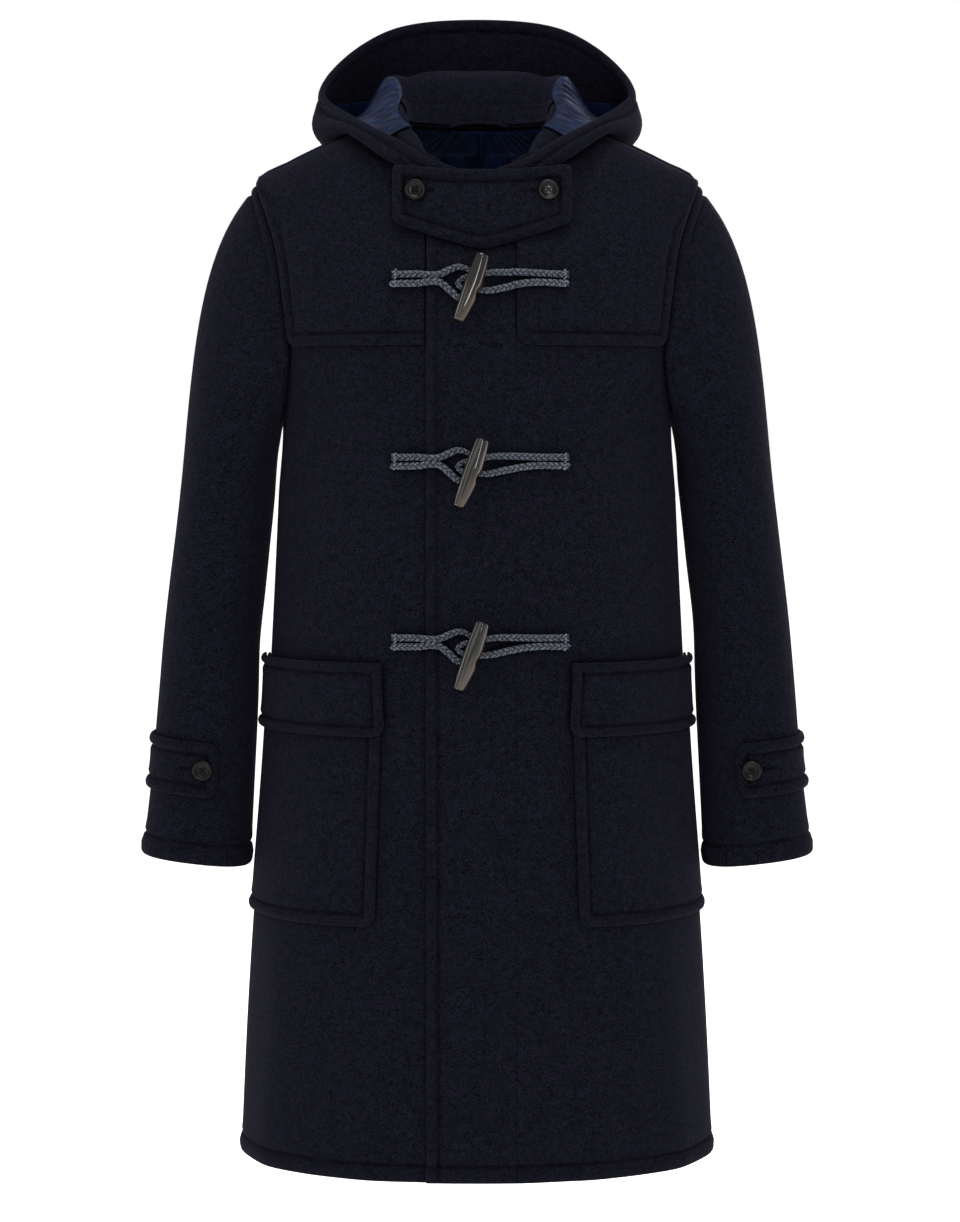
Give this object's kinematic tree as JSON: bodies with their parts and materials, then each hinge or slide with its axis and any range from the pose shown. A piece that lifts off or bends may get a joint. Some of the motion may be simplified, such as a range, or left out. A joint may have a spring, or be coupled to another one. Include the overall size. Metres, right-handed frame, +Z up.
{
  "type": "duffle coat",
  "caption": "Knee-length hooded duffle coat in navy wool, worn down hood, horn toggles on plaited cords, throat tab, patch pockets with flaps and cuff straps, filled out with no wearer.",
  "frame": {"origin": "between the shoulders, where the wearer's shoulders and neck hold the coat up", "axes": "+Z up, the front faces -Y, the wearer's left is +X"},
  "size_m": [0.69, 0.3686, 1.1815],
  "materials": {
    "wool": "felted navy melton, matt with a short nap",
    "satin_lining": "navy satin, silky",
    "toggle_horn": "polished streaked grey-brown horn",
    "button": "dark grey, half gloss",
    "plaited_cord": "plaited steel-blue and grey cord"
  },
  "bodies": {
    "root": {"back": "wool", "back_lining": "satin_lining", "cuff_button_left": "button", "cuff_button_right": "button", "cuff_strap_left": "wool", "cuff_strap_right": "wool", "flap_left": "wool", "flap_right": "wool", "front_band": "wool", "front_left": "wool", "front_right": "wool", "hanger_loop": "wool", "hood_left": "wool", "hood_lining_left": "satin_lining", "hood_lining_right": "satin_lining", "hood_right": "wool", "loop_cord_bottom": "plaited_cord", "loop_cord_middle": "plaited_cord", "loop_cord_top": "plaited_cord", "neck_facing": "wool", "pocket_left": "wool", "pocket_right": "wool", "tab_button_left": "button", "tab_button_right": "button", "throat_tab": "wool", "toggle_bottom": "toggle_horn", "toggle_cord_bottom": "plaited_cord", "toggle_cord_middle": "plaited_cord", "toggle_cord_top": "plaited_cord", "toggle_middle": "toggle_horn", "toggle_top": "toggle_horn", "under_sleeve_left": "wool", "under_sleeve_right": "wool", "upper_sleeve_left": "wool", "upper_sleeve_right": "wool", "yoke_back": "wool", "yoke_left": "wool", "yoke_right": "wool"}
  },
  "joints": []
}
